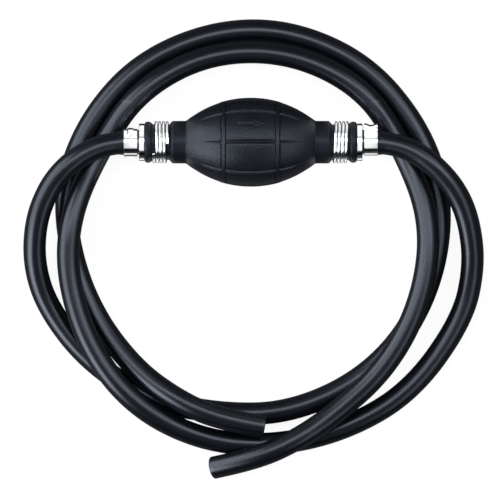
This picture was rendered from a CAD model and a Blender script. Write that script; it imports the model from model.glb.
import math

import bmesh
import bpy
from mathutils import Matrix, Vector


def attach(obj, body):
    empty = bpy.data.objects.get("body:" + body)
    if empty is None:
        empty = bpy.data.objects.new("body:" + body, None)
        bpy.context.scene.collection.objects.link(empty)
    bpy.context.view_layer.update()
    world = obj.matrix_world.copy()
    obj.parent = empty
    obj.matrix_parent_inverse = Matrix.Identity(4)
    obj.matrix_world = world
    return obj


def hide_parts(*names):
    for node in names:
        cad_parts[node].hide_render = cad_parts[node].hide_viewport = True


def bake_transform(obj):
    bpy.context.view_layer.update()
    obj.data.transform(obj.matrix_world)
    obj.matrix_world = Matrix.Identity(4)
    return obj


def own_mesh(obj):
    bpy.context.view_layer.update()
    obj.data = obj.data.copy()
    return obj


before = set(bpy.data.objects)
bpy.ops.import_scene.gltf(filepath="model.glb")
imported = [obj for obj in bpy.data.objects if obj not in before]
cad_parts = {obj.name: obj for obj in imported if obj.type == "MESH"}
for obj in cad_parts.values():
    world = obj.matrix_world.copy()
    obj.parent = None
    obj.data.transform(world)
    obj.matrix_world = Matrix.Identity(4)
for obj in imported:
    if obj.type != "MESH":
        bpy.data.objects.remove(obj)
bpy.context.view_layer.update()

MM = 0.001
AXIS_Z = 25.5            # the bulb's axis above the floor, in millimetres as all sizes here

# ---------------------------------------------------------------------------------------------
# Camera: straight above the coil, with a long lens
# ---------------------------------------------------------------------------------------------
VIEW_WIDTH = 287.5
VIEW_CENTRE = (-0.4, -61.8)
CAMERA_HEIGHT = 5000.0
VIEW_LEVEL = 10.0        # the height at which the view is VIEW_WIDTH wide
SENSOR = 36.0

lens = bpy.data.cameras.new("camera")
lens.sensor_width = SENSOR
lens.lens = SENSOR * CAMERA_HEIGHT / VIEW_WIDTH
lens.clip_end = 50.0
camera = bpy.data.objects.new("camera", lens)
camera.location = Vector((*VIEW_CENTRE, CAMERA_HEIGHT + VIEW_LEVEL)) * MM
bpy.context.collection.objects.link(camera)
bpy.context.scene.camera = camera
bpy.context.scene.view_settings.view_transform = "Standard"

# ---------------------------------------------------------------------------------------------
# Small tools
# ---------------------------------------------------------------------------------------------
ROUNDING_STEPS = 5


def smoothstep(start, end, value):
    part = min(max((value - start) / (end - start), 0.0), 1.0)
    return part * part * (3 - 2 * part)


def divided(start, end, count):
    """The numbers from start to end that lie count equal steps apart."""
    return [start + (end - start) * i / count for i in range(count + 1)]


def spread(start, end, step):
    """Evenly spaced numbers from start to end, no further apart than step."""
    return divided(start, end, max(1, math.ceil(abs(end - start) / step)))


def rounded(corners, radii):
    """A 2-D line through corners, each rounded off by a curve that starts that far from it."""
    line = [Vector(corners[0])]
    for before, at, after, radius in zip(corners, corners[1:], corners[2:], radii):
        before, at, after = Vector(before), Vector(at), Vector(after)
        start = at + (before - at).normalized() * radius
        end = at + (after - at).normalized() * radius
        for t in divided(0, 1, ROUNDING_STEPS):
            line.append(start * (1 - t) ** 2 + at * 2 * t * (1 - t) + end * t * t)
    line.append(Vector(corners[-1]))
    return line


def build(name, rows, material, sharp, wrap_rows=False, extra_faces=(), along=None):
    """A mesh over rows of points in millimetres, each row closed on itself.

    The UVs run round each row and, at the places in along, from row to row. Edges sharper than
    sharp degrees are shaded as edges.
    """
    columns = len(rows[0])
    mesh = bpy.data.meshes.new(name)
    faces, corners = [], []
    row_count = len(rows)
    along = along or divided(0, 1, row_count)
    for i in range(row_count if wrap_rows else row_count - 1):
        k = (i + 1) % row_count
        for j in range(columns):
            m = (j + 1) % columns
            faces.append((i * columns + j, i * columns + m, k * columns + m, k * columns + j))
            u, v = j / columns, (j + 1) / columns
            corners += [(u, along[i]), (v, along[i]), (v, along[i + 1]), (u, along[i + 1])]
    for face in extra_faces:
        faces.append(face)
        corners += [(0.5, along[0])] * len(face)
    points = [Vector(p) * MM for row in rows for p in row]
    mesh.from_pydata(points, [], faces)
    layer = mesh.uv_layers.new(name="UVMap")
    for loop, uv in zip(layer.data, corners):
        loop.uv = uv
    shape = bmesh.new()
    shape.from_mesh(mesh)
    bmesh.ops.recalc_face_normals(shape, faces=shape.faces)
    shape.to_mesh(mesh)
    shape.free()
    mesh.shade_smooth()
    mesh.set_sharp_from_angle(angle=math.radians(sharp))
    mesh.materials.append(material)
    piece = bpy.data.objects.new(name, mesh)
    bpy.context.collection.objects.link(piece)
    return piece


# ---------------------------------------------------------------------------------------------
# Materials
# ---------------------------------------------------------------------------------------------
MIX_A, MIX_B, MIX_RESULT = 6, 7, 2          # the colour sockets of a Mix node
NOISE_LOW, NOISE_HIGH = 0.3, 0.7            # where most of a noise's values lie
PATCH_LOW, PATCH_HIGH = 0.35, 0.7           # a colour's dark and light patches
BULB_DARK, BULB_LIGHT = (0.0035, 0.0042, 0.006), (0.007, 0.008, 0.011)
HOSE_DARK, HOSE_LIGHT = (0.002, 0.0024, 0.0036), (0.0035, 0.004, 0.006)
NITRILE_DARK, NITRILE_LIGHT = (0.02, 0.02, 0.021), (0.035, 0.035, 0.037)
BRIGHT_METAL = (0.94, 0.945, 0.95, 1)
STAINLESS_METAL = (0.93, 0.935, 0.94, 1)
SPRING_METAL = (0.6, 0.6, 0.6, 1)
NATURAL_ACETAL = (0.8, 0.8, 0.76, 1)


class Finish:
    """A node material that is built a node at a time."""

    def __init__(self, name, **sockets):
        self.material = bpy.data.materials.new(name)
        self.material.use_nodes = True
        self.tree = self.material.node_tree
        self.shader = self.tree.nodes["Principled BSDF"]
        for socket, value in sockets.items():
            self.shader.inputs[socket.replace("_", " ")].default_value = value
        self.normal = None

    def node(self, kind, inputs=None, **settings):
        node = self.tree.nodes.new("ShaderNode" + kind)
        for key, value in settings.items():
            setattr(node, key, value)
        for key, value in (inputs or {}).items():
            if isinstance(value, bpy.types.NodeSocket):
                self.tree.links.new(value, node.inputs[key])
            else:
                node.inputs[key].default_value = value
        return node

    def place(self, scale=(1, 1, 1), kind="Object"):
        """Texture coordinates, stretched by scale."""
        source = self.node("TexCoord").outputs[kind]
        return self.node("Mapping", {"Vector": source, "Scale": scale}).outputs["Vector"]

    def noise(self, where, scale, detail=3.0, roughness=0.55):
        inputs = {"Vector": where, "Scale": scale, "Detail": detail, "Roughness": roughness}
        return self.node("TexNoise", inputs).outputs["Fac"]

    def ramp(self, value, low, high, out_low, out_high):
        inputs = {"Value": value, "From Min": low, "From Max": high, "To Min": out_low, "To Max": out_high}
        return self.node("MapRange", inputs).outputs["Result"]

    def math(self, operation, a, b):
        return self.node("Math", {0: a, 1: b}, operation=operation).outputs[0]

    def drive(self, socket, value):
        self.tree.links.new(value, self.shader.inputs[socket])

    def colour(self, share, dark, light):
        """Base colour between dark and light, by share."""
        node = self.node("Mix", {MIX_A: (*dark, 1), MIX_B: (*light, 1)}, data_type="RGBA")
        self.tree.links.new(share, node.inputs["Factor"])
        self.drive("Base Color", node.outputs[MIX_RESULT])

    def patches(self, noise, dark, light):
        """Base colour in dark and light patches, by a noise."""
        self.colour(self.ramp(noise, PATCH_LOW, PATCH_HIGH, 0, 1), dark, light)

    def roughness(self, noise, low, high):
        """Roughness between low and high, by a noise."""
        self.drive("Roughness", self.ramp(noise, NOISE_LOW, NOISE_HIGH, low, high))

    def bump(self, height, distance):
        """Adds a relief that is distance millimetres deep."""
        inputs = {"Height": height, "Distance": distance * MM}
        if self.normal:
            inputs["Normal"] = self.normal
        self.normal = self.node("Bump", inputs).outputs["Normal"]
        self.drive("Normal", self.normal)


def moulded_rubber(name, gloss, roughness, grain_depth, pebble_depth):
    """Moulded black rubber: a pebbled skin with a fine grain on it, and faint mottling."""
    f = Finish(name, Specular_Tint=(0.78, 0.86, 1.0, 1), Specular_IOR_Level=gloss)
    where = f.place()
    grain = f.noise(where, scale=1050, detail=4, roughness=0.75)
    f.patches(f.noise(where, scale=90, detail=4), BULB_DARK, BULB_LIGHT)
    f.roughness(grain, *roughness)
    f.bump(f.noise(where, scale=1000, detail=1, roughness=0.5), pebble_depth)
    f.bump(grain, grain_depth)
    return f.material


def hose_rubber():
    """Extruded satin black rubber: faint streaks along the hose and a very fine grain."""
    f = Finish("hose_rubber", Specular_Tint=(0.8, 0.87, 1.0, 1), Specular_IOR_Level=0.5)
    streaks = f.noise(f.place((60, 9, 1), "UV"), scale=1.0)
    where = f.place()
    f.patches(f.noise(where, scale=60, detail=4), HOSE_DARK, HOSE_LIGHT)
    f.roughness(streaks, 0.24, 0.32)
    f.bump(streaks, 0.02)
    f.bump(f.noise(where, scale=2600, detail=2, roughness=0.7), 0.012)
    return f.material


def turned_aluminium():
    """Turned aluminium: fine rings left by the tool, about the bulb's axis."""
    f = Finish("aluminium", Metallic=1.0, Base_Color=BRIGHT_METAL)
    place = f.node("TexCoord").outputs["Object"]
    parts = f.node("SeparateXYZ", {0: place})
    lift = f.math("SUBTRACT", parts.outputs["Z"], AXIS_Z * MM)
    flat = f.node("CombineXYZ", {"Y": parts.outputs["Y"], "Z": lift}).outputs[0]
    radius = f.node("VectorMath", {0: flat}, operation="LENGTH").outputs["Value"]
    rings = f.node("CombineXYZ", {"X": parts.outputs["X"], "Y": radius}).outputs[0]
    f.roughness(f.noise(place, scale=240), 0.12, 0.2)
    f.bump(f.noise(rings, scale=5200, detail=2, roughness=0.6), 0.012)
    return f.material


def bright_wire():
    """Drawn and plated spring wire: bright, with faint scratches and duller patches."""
    f = Finish("bright_wire", Metallic=1.0, Base_Color=BRIGHT_METAL)
    f.roughness(f.noise(f.place(), scale=500), 0.10, 0.18)
    f.bump(f.noise(f.place((60, 6, 1), "UV"), scale=1.0), 0.01)
    return f.material


def stainless_band():
    """Rolled stainless strip: fine lines along the strip."""
    f = Finish("stainless_band", Metallic=1.0, Base_Color=STAINLESS_METAL)
    f.roughness(f.noise(f.place(), scale=300), 0.12, 0.2)
    f.bump(f.noise(f.place((300, 4, 1), "UV"), scale=1.0), 0.008)
    return f.material


def spring_steel():
    f = Finish("valve_spring_steel", Metallic=1.0, Base_Color=SPRING_METAL)
    f.roughness(f.noise(f.place(), scale=900), 0.25, 0.4)
    return f.material


def acetal():
    f = Finish("poppet_plastic", Base_Color=NATURAL_ACETAL)
    cloud = f.noise(f.place(), scale=700)
    f.roughness(cloud, 0.4, 0.5)
    f.bump(cloud, 0.01)
    return f.material


def nitrile():
    f = Finish("seal_rubber")
    cloud = f.noise(f.place(), scale=800)
    f.colour(cloud, NITRILE_DARK, NITRILE_LIGHT)
    f.roughness(cloud, 0.5, 0.65)
    f.bump(cloud, 0.02)
    return f.material


BULB_RUBBER = moulded_rubber("bulb_rubber", gloss=0.33, roughness=(0.27, 0.43), grain_depth=0.15,
                             pebble_depth=0.16)
NECK_RUBBER = moulded_rubber("neck_rubber", gloss=0.17, roughness=(0.32, 0.4), grain_depth=0.1,
                             pebble_depth=0.03)
HOSE_RUBBER = hose_rubber()
ALUMINIUM = turned_aluminium()
BRIGHT_WIRE = bright_wire()
STAINLESS = stainless_band()
SPRING_STEEL = spring_steel()
ACETAL = acetal()
NITRILE = nitrile()

# ---------------------------------------------------------------------------------------------
# Hoses
# ---------------------------------------------------------------------------------------------
HOSE_R, BORE_R = 6.5, 4.0
STRETCHED_R, STRETCHED_BORE_R = 7.05, 4.5        # over the valve body's barb
STRETCHED_LENGTH, TAPER_END = 9.2, 13.0
HOSE_SIDES = 48
ROUTE_ORDER, ROUTE_RESOLUTION = 3, 14
CUT_ROUND = 0.35                                 # the cut end's edges are rounded over by this much
CUT_ANGLES = (30, 60, 90)                        # in these steps
CUT_UV_STEP, BORE_UV_GAP = 0.0005, 0.004         # metres, of the cut end and the bore in the UVs

# Each hose's route, from its valve body to its free end, as in part.py
INLET_ROUTE = [
    (-64, 0, 25.5), (-77, 0, 25.5), (-92, -4.2, 25.5), (-105.3, -13.2, 25.5), (-116, -26.3, 23),
    (-123.6, -46, 19.5), (-124.6, -71, 11), (-116.5, -95.5, 6.5), (-93.9, -124.9, 6.5),
    (-59.2, -148.2, 6.5), (-16, -156.4, 6.5), (22, -155.4, 6.5), (61.3, -138.4, 6.5),
    (90.2, -110, 6.5), (107.4, -70, 6.5), (109.7, -27, 6.5), (95.4, 10.9, 6.5), (65.4, 45.9, 6.5),
    (21.5, 64.9, 6.5), (-22, 64, 6.5), (-64.4, 45.5, 6.5), (-92.8, 13.2, 6.5), (-107.2, -24, 6.5),
    (-104.4, -62.2, 6.5), (-90.6, -99.3, 6.5), (-66.6, -130.6, 13.5), (-40.2, -149.3, 21),
    (-16, -159.4, 20), (7.6, -163.3, 17.5),
]
OUTLET_ROUTE = [
    (64, 0, 25.5), (77, 0, 25.5), (92, -4.2, 25.5), (105.4, -13.2, 25.5), (118.3, -28, 22.5),
    (125.6, -46, 18), (128.5, -71, 10), (122, -101.7, 6.5), (92.9, -142.7, 6.5),
    (55.4, -164.9, 6.5), (13.1, -174.7, 6.5), (-28.1, -171.4, 9), (-66.7, -151.6, 20),
    (-93, -118, 20.5), (-105.8, -76, 20.5), (-103.3, -40.3, 21), (-86.8, -3.6, 10.5),
    (-64.8, 29.6, 15.5), (-25, 51.5, 14.5), (22, 52.3, 14.5), (64.1, 32.2, 15.5),
    (87, -1.6, 10.5), (104, -45.6, 18.6), (98.3, -91, 20.5), (77.8, -129.9, 19.5),
    (45.6, -158.4, 18), (20.8, -174, 21.5), (-1, -182.5, 18.8), (-21.5, -187, 10),
]


def centre_line(route):
    """Points along the NURBS spline that has the route's points as its control points."""
    curve = bpy.data.curves.new("route", "CURVE")
    curve.dimensions = "3D"
    curve.resolution_u = ROUTE_RESOLUTION
    spline = curve.splines.new("NURBS")
    spline.points.add(len(route) - 1)
    for point, place in zip(spline.points, route):
        point.co = (*(Vector(place) * MM), 1)
    spline.order_u = ROUTE_ORDER
    spline.use_endpoint_u = True
    holder = bpy.data.objects.new("route", curve)
    line = bpy.data.meshes.new_from_object(holder)
    points = [v.co / MM for v in line.vertices]
    bpy.data.objects.remove(holder)
    bpy.data.curves.remove(curve)
    bpy.data.meshes.remove(line)
    return points


def ring_frame(points, i):
    """The sideways and upward directions of the ring at point i."""
    way = (points[min(i + 1, len(points) - 1)] - points[max(i - 1, 0)]).normalized()
    side = Vector((0, 0, 1)).cross(way).normalized()
    return side, way.cross(side)


def circle(centre, side, up, radius, count):
    ring = []
    for j in range(count):
        angle = 2 * math.pi * j / count - math.pi / 2
        ring.append(centre + side * (radius * math.cos(angle)) + up * (radius * math.sin(angle)))
    return ring


def hose(side_name, route):
    points = centre_line(route)
    travelled = [0.0]
    for a, b in zip(points, points[1:]):
        travelled.append(travelled[-1] + (b - a).length)
    outside, inside = [], []
    for i, (point, s) in enumerate(zip(points, travelled)):
        side, up = ring_frame(points, i)
        loose = smoothstep(STRETCHED_LENGTH, TAPER_END, s)
        outer = STRETCHED_R + (HOSE_R - STRETCHED_R) * loose
        inner = STRETCHED_BORE_R + (BORE_R - STRETCHED_BORE_R) * loose
        outside.append(circle(point, side, up, outer, HOSE_SIDES))
        inside.append(circle(point, side, up, inner, HOSE_SIDES))
    # the cut end: both edges are rounded over, towards a flat face at the last point
    side, up = ring_frame(points, len(points) - 1)
    way = side.cross(up)

    def cut_ring(angle, radius, sign):
        a = math.radians(angle)
        centre = points[-1] - way * (CUT_ROUND * (1 - math.sin(a)))
        return circle(centre, side, up, radius + sign * CUT_ROUND * (1 - math.cos(a)), HOSE_SIDES)

    outside[-1], inside[-1] = cut_ring(0, HOSE_R, -1), cut_ring(0, BORE_R, 1)
    cut = [cut_ring(angle, HOSE_R, -1) for angle in CUT_ANGLES]
    cut += [cut_ring(angle, BORE_R, 1) for angle in CUT_ANGLES[::-1]]
    lengths = [s * MM for s in travelled]
    end = lengths[-1]
    along = lengths + [end + CUT_UV_STEP * (k + 1) for k in range(len(cut))]
    along += [end + BORE_UV_GAP + (end - s) for s in lengths[::-1]] + [2 * (end + BORE_UV_GAP)]
    piece = build(side_name + "_rubber_hose", outside + cut + inside[::-1], HOSE_RUBBER,
                  sharp=50, wrap_rows=True, along=along)
    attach(piece, "siphon")
    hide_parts(side_name + "_hose", side_name + "_hose_end")


hose("inlet", INLET_ROUTE)
hose("outlet", OUTLET_ROUTE)

# ---------------------------------------------------------------------------------------------
# Bulb: two half shells that meet along its sides, and flatten as the bulb is squeezed
# ---------------------------------------------------------------------------------------------
BULB_R, BULB_ARC_R, BULB_WALL = 25.0, 60.3, 3.2
NECK_BORE_R = 7.5
CAVITY_END = 40.0        # past this the cavity has narrowed to the neck's bore
CUFF_START, CUFF_END, CUFF_R, CUFF_CHAMFER = 37.1, 46.3, 12.2, 1.5
BARREL_END = CUFF_START - 1.2                # where the barrel starts to turn into the cuff
NECK_SKIN_START = CUFF_START - 0.6           # the necks are smoother than the bulb between them
GROOVE_R = 10.2
NECK_ROUNDINGS = (0.8, 0.5, 0.3, 0.2)        # at the corners of cuff and groove
LIP_START, LIP_END, LIP_R = 56.7, 60.8, 11.8
LIP_POWER = 0.75         # below 1, so that the lip is fuller than an ellipse
LIP_STEP = 9             # degrees round the lip
RIB_PROUD, RIB_HALF_LENGTH, RIB_COUNT = 0.5, 31.0, 8
RIB_WIDTH, RIB_TIP_WIDTH = 1.4, 0.8
RIB_FADE, RIB_TAPER = 1.5, 6                 # a rib sinks all the way to its tip, and narrows over a sixth
RING_X, RING_WIDTH = 15.5, 2.2
RIB_EDGE, RING_EDGE, RIB_FOOT = 0.6, 0.25, 0.05     # a rib's or ring's side rises over edge and foot
RIB_GROOVE, RIB_GROOVE_WIDTH = 0.35, 0.7     # a shallow groove runs along the foot of each rib
ARROW_TILT, ARROW_LENGTH = 24.0, 13.5        # degrees from the top of the bulb, mm
ARROW_HEAD_LENGTH, ARROW_HEAD_WIDTH, ARROW_SHAFT_WIDTH = 4.7, 3.4, 1.1
ARROW_PROUD, ARROW_EDGE = 0.4, 0.3
ARROW_GROOVE, ARROW_GROOVE_WIDTH = 0.25, 0.6
# the points of the mesh lie closest together at the ribs and the arrow: along the bulb in these
# stretches, each with its step, and round it at these angles
STRETCHES = ((0, 7.4, 0.24), (7.4, 13.6, 0.9), (13.6, 17.4, 0.17), (17.4, BARREL_END, 0.9))
ANGLE_STEP, ARROW_ANGLE_STEP, LEAST_ANGLE_STEP = 2.5, 0.45, 0.2
ARROW_HALF_ANGLE = 5
RIB_ANGLES = (0.0, 0.5, 1.0, 1.35, 1.7, 2.05, 2.4, 2.75, 3.1)


def bulb_radius(x, top=BULB_R, arc=BULB_ARC_R):
    return top - arc + math.sqrt(arc * arc - x * x)


def neck_outline():
    """(x, radius) from where the neck leaves the bulb to its end face."""
    corners = [
        (BARREL_END, bulb_radius(BARREL_END)), (CUFF_START, CUFF_R), (CUFF_END - CUFF_CHAMFER, CUFF_R),
        (CUFF_END, CUFF_R - CUFF_CHAMFER), (CUFF_END, GROOVE_R), (LIP_START, GROOVE_R),
    ]
    line = rounded(corners, NECK_ROUNDINGS)[1:]
    middle, half = (LIP_START + LIP_END) / 2, (LIP_END - LIP_START) / 2
    for angle in spread(0, 180, LIP_STEP)[1:]:
        a = math.radians(angle)
        rise = (LIP_R - GROOVE_R) * math.sin(a) ** LIP_POWER
        line.append(Vector((middle - half * math.cos(a), GROOVE_R + rise)))
    return line


def bulb_stations():
    """(x, radius) of the bulb's plain outline, from end to end."""
    places = {round(x, 4) for start, end, step in STRETCHES for x in spread(start, end, step)}
    half = [Vector((x, bulb_radius(x))) for x in sorted(places)] + neck_outline()
    return [Vector((-p.x, p.y)) for p in half[:0:-1]] + half


def rib_angles():
    """Angles round the half bulb, in degrees from its middle."""
    places = set(spread(-90, 90, ANGLE_STEP))
    for middle in spread(-90, 90, 360 // RIB_COUNT):
        places.update(middle + way * a for a in RIB_ANGLES for way in (-1, 1) if abs(middle + way * a) <= 90)
    places.update(spread(ARROW_TILT - ARROW_HALF_ANGLE, ARROW_TILT + ARROW_HALF_ANGLE, ARROW_ANGLE_STEP))
    kept = []
    for angle in sorted(places):
        if not kept or angle - kept[-1] > LEAST_ANGLE_STEP:
            kept.append(angle)
    kept[-1] = 90.0
    return kept


def outside_arrow(x, y):
    """Distance of a point on the bulb's skin from the flow arrow's outline, below zero inside it."""
    front = ARROW_LENGTH / 2
    neck = front - ARROW_HEAD_LENGTH
    shaft = max(abs(y) - ARROW_SHAFT_WIDTH / 2, -front - x, x - neck)
    slope = math.atan2(ARROW_HEAD_WIDTH / 2, ARROW_HEAD_LENGTH)
    head = max(neck - x, (x - front) * math.sin(slope) + abs(y) * math.cos(slope))
    return min(shaft, head)


def rib_profile(distance, width, edge):
    """The height of a rib at a distance from its middle, with the groove along its foot."""
    rib = 1 - smoothstep(width / 2 - edge, width / 2 + RIB_FOOT, distance)
    groove = 1 - smoothstep(width / 2, width / 2 + RIB_GROOVE_WIDTH, distance)
    return RIB_PROUD * rib - RIB_GROOVE * groove * (1 - rib)


def relief(x, angle, radius, with_arrow):
    """How far ribs and the arrow stand out of the bulb."""
    if abs(x) > BARREL_END:
        return 0.0
    height = rib_profile(abs(abs(x) - RING_X), RING_WIDTH, RING_EDGE)
    gap = 360 / RIB_COUNT
    from_rib = abs((angle + gap / 2) % gap - gap / 2)
    beyond = max(0.0, (abs(x) - RING_X) / (RIB_HALF_LENGTH - RING_X))
    if beyond < 1:
        width = RIB_WIDTH + (RIB_TIP_WIDTH - RIB_WIDTH) * min(1.0, beyond * RIB_TAPER)
        rib = (1 - beyond ** RIB_FADE) * rib_profile(math.radians(from_rib) * radius, width, RIB_EDGE)
        height = max(height, rib) if max(height, rib) > 0 else min(height, rib)
    if with_arrow:
        across = math.radians(angle - ARROW_TILT) * radius
        outside = outside_arrow(x, across)
        edge = 1 - smoothstep(-ARROW_EDGE / 2, ARROW_EDGE / 2, outside)
        groove = (1 - smoothstep(0, ARROW_GROOVE_WIDTH, outside)) * (1 - edge)
        height += ARROW_PROUD * edge - ARROW_GROOVE * groove
    return height


def half_bulb(name, up, nodes):
    stations = bulb_stations()
    inner_places = divided(-LIP_END, LIP_END, len(stations) - 1)
    rows = []
    for angle in rib_angles():
        a = math.radians(angle)
        way = Vector((0, math.sin(a), up * math.cos(a)))
        row = []
        for station in stations:
            radius = station.y + relief(station.x, angle, station.y, up > 0)
            row.append(Vector((station.x, 0, AXIS_Z)) + way * radius)
        for x in inner_places[::-1]:
            wall = bulb_radius(x, BULB_R - BULB_WALL, BULB_ARC_R - BULB_WALL) if abs(x) < CAVITY_END else 0
            row.append(Vector((x, 0, AXIS_Z)) + way * max(wall, NECK_BORE_R))
        rows.append(row)
    size = len(rows[0])
    rims = []
    for first in (0, (len(rows) - 1) * size):
        for i in range(len(stations) - 1):
            rims.append((first + i, first + i + 1, first + size - 2 - i, first + size - 1 - i))
    piece = build(name, rows, BULB_RUBBER, sharp=60, extra_faces=rims)
    piece.data.materials.append(NECK_RUBBER)
    for face in piece.data.polygons:
        if abs(face.center.x) > NECK_SKIN_START * MM:
            face.material_index = 1
    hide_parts(*nodes)
    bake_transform(piece)


half_bulb("bulb_top_half", 1, ["bulb_shell", "bulb_upper_wall"])
half_bulb("bulb_bottom_half", -1, ["bulb_lower_wall"])

# ---------------------------------------------------------------------------------------------
# Wire clamps, wound round the necks of the bulb
# ---------------------------------------------------------------------------------------------
WIRE_R, WIRE_CLAMP_R = 0.87, 11.2
WIRE_CLAMP_START, WIRE_CLAMP_END = 46.5, 56.5
WIRE_TURNS, WIRE_STEPS, WIRE_SIDES = 3.92, 64, 20        # the steps are in each turn
WIRE_CUT = 0.22          # the chamfer of the cut ends, as a share of the wire's radius
NUDGE = 0.001            # the wire's direction is taken this share of its length each way


def wound_wire(name, material, ends, radius, wire_r, turns, steps, sides, start_angle=0, flip=1):
    """Round wire wound about the bulb's axis between two places along X, with flat cut ends."""
    start, end = ends
    chamfer = WIRE_CUT * wire_r
    count = math.ceil(steps * turns)

    def place(t):
        angle = math.radians(start_angle) + 2 * math.pi * turns * t
        x = start + (end - start) * t
        return Vector((flip * x, radius * math.cos(angle), AXIS_Z + radius * math.sin(angle)))

    rows = []
    for i, t in enumerate(divided(0, 1, count)):
        centre = place(t)
        way = (place(t + NUDGE) - place(t - NUDGE)).normalized()
        out = Vector((0, centre.y, centre.z - AXIS_Z)).normalized()
        side = way.cross(out).normalized()
        out = side.cross(way)
        if i == 0:
            rows.append(circle(centre, side, out, wire_r - chamfer, sides))
            centre += way * chamfer
        if i == count:
            centre -= way * chamfer
        rows.append(circle(centre, side, out, wire_r, sides))
        if i == count:
            rows.append(circle(centre + way * chamfer, side, out, wire_r - chamfer, sides))
    last = (len(rows) - 1) * sides
    caps = [tuple(range(sides)), tuple(range(last, last + sides))]
    step = 2 * math.pi * radius / steps * MM
    along = [i * step for i in range(len(rows) + 1)]
    return build(name, rows, material, sharp=35, extra_faces=caps, along=along)


def wire_clamp(side_name, start_angle, flip):
    ends = -WIRE_CLAMP_END + WIRE_R, -WIRE_CLAMP_START - WIRE_R
    piece = wound_wire(side_name + "_wire_clamp", BRIGHT_WIRE, ends, WIRE_CLAMP_R, WIRE_R,
                       WIRE_TURNS, WIRE_STEPS, WIRE_SIDES, start_angle, flip)
    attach(piece, "siphon")
    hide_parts(side_name + "_neck_clamp")


wire_clamp("inlet", 125, 1)
wire_clamp("outlet", 305, -1)

# ---------------------------------------------------------------------------------------------
# Ear clamps, pinched round the hoses
# ---------------------------------------------------------------------------------------------
BAND_START, BAND_END, BAND_THICK = 65.0, 72.7, 0.6
BAND_EDGE, BAND_STEP = 0.12, 0.6             # its edges are cut off by this much, its points this far apart
EAR_TOP, EAR_WIDTH = 10.6, 6.0
EAR_PINCH = 0.9          # the ear is this much narrower at its foot, on each side
EAR_WAIST, EAR_SHOULDER, EAR_BULGE = 0.7, 1.8, 0.1       # heights above its foot, and how far it bulges
EAR_ROUNDINGS = (0.3, 0.3, 0.5, 0.9, 0.9, 0.5, 0.3, 0.3)
FOOT_ANGLE = 3           # the round part of the strip stops this many degrees from the ear's foot
DIMPLE_DEPTH, DIMPLE_WIDTH = 0.9, 0.8        # mm at the middle of the ear's top, share of the strip's width
DIMPLE_START, DIMPLE_END = EAR_TOP - 1.6, EAR_TOP - 0.2
CREASE_AT, CREASE_HALF_WIDTH, CREASE_DEPTH = 46.0, 3.5, 0.22     # degrees from the ear, degrees, mm
TONGUE_MIDDLE, TONGUE_WIDTH, TONGUE_THICK = 68.9, 3.6, 0.6
TONGUE_SUNK = 0.05
TONGUE_ROOT, TONGUE_TIP = -35.0, 66.0        # degrees from +Y towards the top
TONGUE_STEP, TONGUE_TIP_STEP, TONGUE_COLUMNS = 1, 0.6, 16
TONGUE_SLOPE, TONGUE_END_SLOPE = 0.6, 3.0    # mm across its sides, degrees at its tip
TONGUE_SIDE = 0.45       # the share of its thickness below that slope, where its sides are upright
TONGUE_DIMPLE = 0.22


def band_line():
    """The clamp's strip seen from its end: (towards the ear, across), at the middle of its thickness."""
    radius = STRETCHED_R + BAND_THICK / 2
    half = (EAR_WIDTH - BAND_THICK) / 2
    opening = math.degrees(math.asin(half / radius))
    loop = []
    for angle in spread(opening + FOOT_ANGLE, 360 - FOOT_ANGLE - opening, 1):
        a = math.radians(angle)
        from_ear = min(angle, 360 - angle)
        pressed = CREASE_DEPTH * (1 - smoothstep(0, CREASE_HALF_WIDTH, abs(from_ear - CREASE_AT)))
        loop.append(Vector((math.cos(a), math.sin(a))) * (radius - pressed))
    foot = radius * math.cos(math.radians(opening))
    top = EAR_TOP - BAND_THICK / 2
    side = [(foot, half), (foot + EAR_WAIST, half - EAR_PINCH), (foot + EAR_SHOULDER, half + EAR_BULGE),
            (top, half + EAR_BULGE)]
    other_side = [(along, -across) for along, across in side]
    ear = rounded([loop[-1], *other_side, *side[::-1], loop[0]], EAR_ROUNDINGS)
    return loop + ear[1:-1]


def band_section():
    """The strip's own section: (across its thickness, along X), with its edges cut off."""
    half_thick, half_width = BAND_THICK / 2, (BAND_END - BAND_START) / 2
    places = spread(half_width - BAND_EDGE, BAND_EDGE - half_width, BAND_STEP)
    outer = [(half_thick, w) for w in places]
    inner = [(-half_thick, w) for w in places[::-1]]
    right = [(half_thick - BAND_EDGE, -half_width), (BAND_EDGE - half_thick, -half_width)]
    left = [(BAND_EDGE - half_thick, half_width), (half_thick - BAND_EDGE, half_width)]
    return outer + right + inner + left


def ear_clamp(side_name, side, ear_angle):
    line = band_line()
    section = band_section()
    middle = side * (BAND_START + BAND_END) / 2
    a = math.radians(ear_angle)
    to_ear = Vector((0, math.cos(a), math.sin(a)))
    across = Vector((0, -math.sin(a), math.cos(a)))
    dimple_half_width = DIMPLE_WIDTH * ((BAND_END - BAND_START) / 2)
    rows = []
    for i, point in enumerate(line):
        way = (line[(i + 1) % len(line)] - line[i - 1]).normalized()
        out = Vector((way.y, -way.x))
        row = []
        for thick, width in section:
            flat = point + out * thick
            pressed = DIMPLE_DEPTH * smoothstep(DIMPLE_START, DIMPLE_END, flat.x)
            pressed *= (1 + math.cos(math.pi * min(1.0, abs(width) / dimple_half_width))) / 2
            row.append(Vector((middle + width, 0, AXIS_Z)) + to_ear * (flat.x - pressed) + across * flat.y)
        rows.append(row)
    piece = build(side_name + "_ear_clamp", rows, STAINLESS, sharp=40, wrap_rows=True)
    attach(piece, "siphon")
    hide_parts(side_name + "_hose_clamp")


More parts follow.
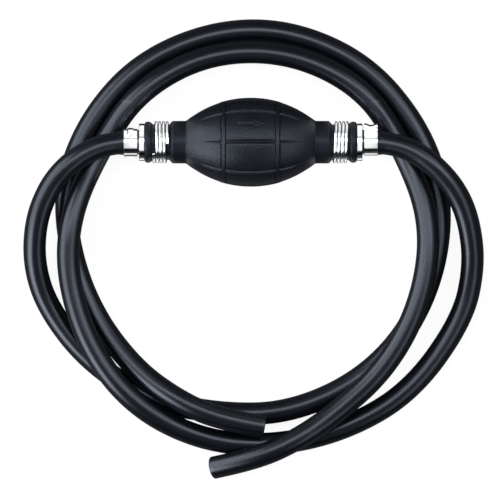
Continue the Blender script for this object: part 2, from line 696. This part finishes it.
def clamp_tongue(side_name, side):
    """The strip's narrow outer end, which lies over the band and is pressed in at its rounded tip."""
    bed = STRETCHED_R + BAND_THICK - TONGUE_SUNK
    half = TONGUE_WIDTH / 2
    round_off = math.degrees(half / bed)
    angles = spread(TONGUE_ROOT, TONGUE_TIP - round_off, TONGUE_STEP)[:-1]
    angles += spread(TONGUE_TIP - round_off, TONGUE_TIP, TONGUE_TIP_STEP)
    rows = []
    for angle in angles:
        from_tip = min(1.0, (TONGUE_TIP - angle) / round_off)
        reach = max(TONGUE_SLOPE, half * math.sqrt(1 - (1 - from_tip) ** 2))
        rise = TONGUE_SUNK + TONGUE_THICK * min(1.0, (TONGUE_TIP - angle) / TONGUE_END_SLOPE)
        from_dimple = abs(TONGUE_TIP - angle - round_off) / round_off
        a = math.radians(angle)
        way = Vector((0, math.cos(a), math.sin(a)))
        crest = reach - TONGUE_SLOPE
        top = [(across, 1.0) for across in divided(-crest, crest, TONGUE_COLUMNS)]
        section = [(-reach, 0.0), (-reach, TONGUE_SIDE)] + top + [(reach, TONGUE_SIDE), (reach, 0.0)]
        row = []
        for across, height in section:
            dimple = TONGUE_DIMPLE * (1 - smoothstep(0.0, 1.0, math.hypot(from_dimple, across / half)))
            x = side * TONGUE_MIDDLE + across
            row.append(Vector((x, 0, AXIS_Z)) + way * (bed + (rise - dimple) * height))
        rows.append(row)
    size = len(rows[0])
    last = (len(rows) - 1) * size
    ends = [tuple(range(size)), tuple(range(last, last + size))]
    piece = build(side_name + "_clamp_tongue", rows, STAINLESS, sharp=30, extra_faces=ends)
    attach(piece, "siphon")


ear_clamp("inlet", -1, -128)
ear_clamp("outlet", 1, 12)
clamp_tongue("inlet", -1)

# ---------------------------------------------------------------------------------------------
# Valve springs, which shorten as their poppets lift
# ---------------------------------------------------------------------------------------------
SPRING_R, SPRING_WIRE_R = 3.2, 0.3
SPRING_TURNS, SPRING_STEPS, SPRING_SIDES = 6, 24, 10
SPRING_INSET = 0.4
SPRING_ENDS = {"inlet": (-55.2, -43.0), "outlet": (45.8, 58.0)}


def valve_spring(side_name):
    start, end = SPRING_ENDS[side_name]
    piece = wound_wire(side_name + "_coil_spring", SPRING_STEEL,
                       (start + SPRING_INSET, end - SPRING_INSET), SPRING_R, SPRING_WIRE_R,
                       SPRING_TURNS, SPRING_STEPS, SPRING_SIDES)
    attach(piece, "siphon")
    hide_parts(side_name + "_valve_spring")
    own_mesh(piece)


valve_spring("inlet")
valve_spring("outlet")

# ---------------------------------------------------------------------------------------------
# CAD pieces that stay, with better materials
# ---------------------------------------------------------------------------------------------
KEPT = {
    "valve_body": ALUMINIUM, "valve_retainer": ALUMINIUM, "valve_seat": NITRILE, "valve_poppet": ACETAL,
}
for side_name in ("inlet", "outlet"):
    for part, material in KEPT.items():
        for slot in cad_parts[side_name + "_" + part].material_slots:
            slot.material = material

# ---------------------------------------------------------------------------------------------
# Floor and lights
# ---------------------------------------------------------------------------------------------
FLOOR_SIZE = 20.0        # metres, as all sizes of the stage apart from the cards
FLOOR_GLOW = 0.92        # the light that the floor itself gives towards the camera
FLOOR_BASE = 0.10
COOL, WHITE = (0.93, 0.96, 1.0), (1.0, 1.0, 1.0)
SKY, SKY_STRENGTH = (0.92, 0.95, 1.0), 0.12
FLAG_Y, FLAG_HEIGHT, FLAG_HALF_LENGTH = -1.3, 0.8, 1.2
# the soft boxes' azimuth and elevation in degrees, distance, length and width in metres, and radiance
SOFT_BOXES = {
    "left": (-90, 29, 1.6, 2.8, 1.25, 4.1),
    "left_front": (-128, 30, 1.6, 0.9, 0.8, 3.4),
    "right": (90, 48, 1.0, 1.9, 0.42, 1.75),
    "back": (0, 76, 1.6, 2.4, 0.6, 4.0),
}
CARD_GLOW = 1.0
CARD_DISTANCE, BACK_CARD_TOP = 24.0, 67.0
TOP_CARD_Y, TOP_CARD_HEIGHT, TOP_CARD_WIDTH = -34.0, 90.0, 100.0
WIRE_CARD_X, BAND_CARD_X = 51.5, 67.0


def plane(name, corners):
    mesh = bpy.data.meshes.new(name)
    mesh.from_pydata(corners, [], [(0, 1, 2, 3)])
    piece = bpy.data.objects.new(name, mesh)
    bpy.context.collection.objects.link(piece)
    return piece


def pale_floor():
    h = FLOOR_SIZE / 2
    floor = plane("floor", [(-h, -h, 0), (h, -h, 0), (h, h, 0), (-h, h, 0)])
    f = Finish("floor", Base_Color=(FLOOR_BASE,) * 3 + (1,), Emission_Color=(1, 1, 1, 1), Roughness=0.9,
               Specular_IOR_Level=0.0)
    seen = f.node("LightPath").outputs["Is Camera Ray"]
    f.drive("Emission Strength", f.math("MULTIPLY", seen, FLOOR_GLOW))
    floor.data.materials.append(f.material)


def black_flag():
    """A black card along X that keeps light off, out of the camera's sight."""
    h, top = FLAG_HALF_LENGTH, FLAG_HEIGHT
    card = plane("front_flag", [(-h, FLAG_Y, 0), (h, FLAG_Y, 0), (h, FLAG_Y, top), (-h, FLAG_Y, top)])
    card.visible_camera = False
    f = Finish("front_flag", Base_Color=(0.0, 0.0, 0.0, 1), Roughness=1.0, Specular_IOR_Level=0.0)
    card.data.materials.append(f.material)


def lamp(name, place, way, length, width, radiance, colour):
    """A rectangle of light at a place, facing way."""
    light_data = bpy.data.lights.new(name, "AREA")
    light_data.shape = "RECTANGLE"
    light_data.size, light_data.size_y = length, width
    light_data.energy = radiance * math.pi * length * width
    light_data.color = colour
    light = bpy.data.objects.new(name, light_data)
    light.location = place
    light.rotation_euler = way.to_track_quat("-Z", "Y").to_euler()
    light.visible_camera = False
    bpy.context.collection.objects.link(light)


def soft_light(name, azimuth, elevation, distance, length, width, radiance):
    """A soft box that faces the coil's middle. Azimuth 0 is towards +Y and 90 towards +X."""
    a, e = math.radians(azimuth), math.radians(elevation)
    way = Vector((math.sin(a) * math.cos(e), math.cos(a) * math.cos(e), math.sin(e)))
    lamp(name, Vector((*VIEW_CENTRE, 0)) * MM + way * distance, -way, length, width, radiance, COOL)


def studio_world():
    world = bpy.data.worlds.new("studio")
    world.use_nodes = True
    sky = world.node_tree.nodes["Background"]
    sky.inputs["Color"].default_value = (*SKY, 1)
    sky.inputs["Strength"].default_value = SKY_STRENGTH
    bpy.context.scene.world = world


def fitting_cards(name, x, length, back_bottom, front_bottom, front_top):
    """Small white cards in front of, behind and above a stretch of a fitting, in millimetres."""
    for side, y, bottom, top in (
        ("back", CARD_DISTANCE, back_bottom, BACK_CARD_TOP),
        ("front", -CARD_DISTANCE, front_bottom, front_top),
    ):
        facing = Vector((0, -1 if y > 0 else 1, 0))
        lamp(name + "_" + side + "_card", Vector((x, y, (bottom + top) / 2)) * MM, facing, length * MM,
             (top - bottom) * MM, CARD_GLOW, WHITE)
    lamp(name + "_top_card", Vector((x, TOP_CARD_Y, TOP_CARD_HEIGHT)) * MM, Vector((0, 0, -1)), length * MM,
         TOP_CARD_WIDTH * MM, CARD_GLOW, WHITE)


pale_floor()
studio_world()
black_flag()
for name, settings in SOFT_BOXES.items():
    soft_light(name, *settings)
for side_name, sign in (("inlet", -1), ("outlet", 1)):
    fitting_cards(side_name + "_wire", sign * WIRE_CARD_X, 13, back_bottom=12, front_bottom=1, front_top=27)
    fitting_cards(side_name + "_band", sign * BAND_CARD_X, 15, back_bottom=15, front_bottom=11, front_top=21)
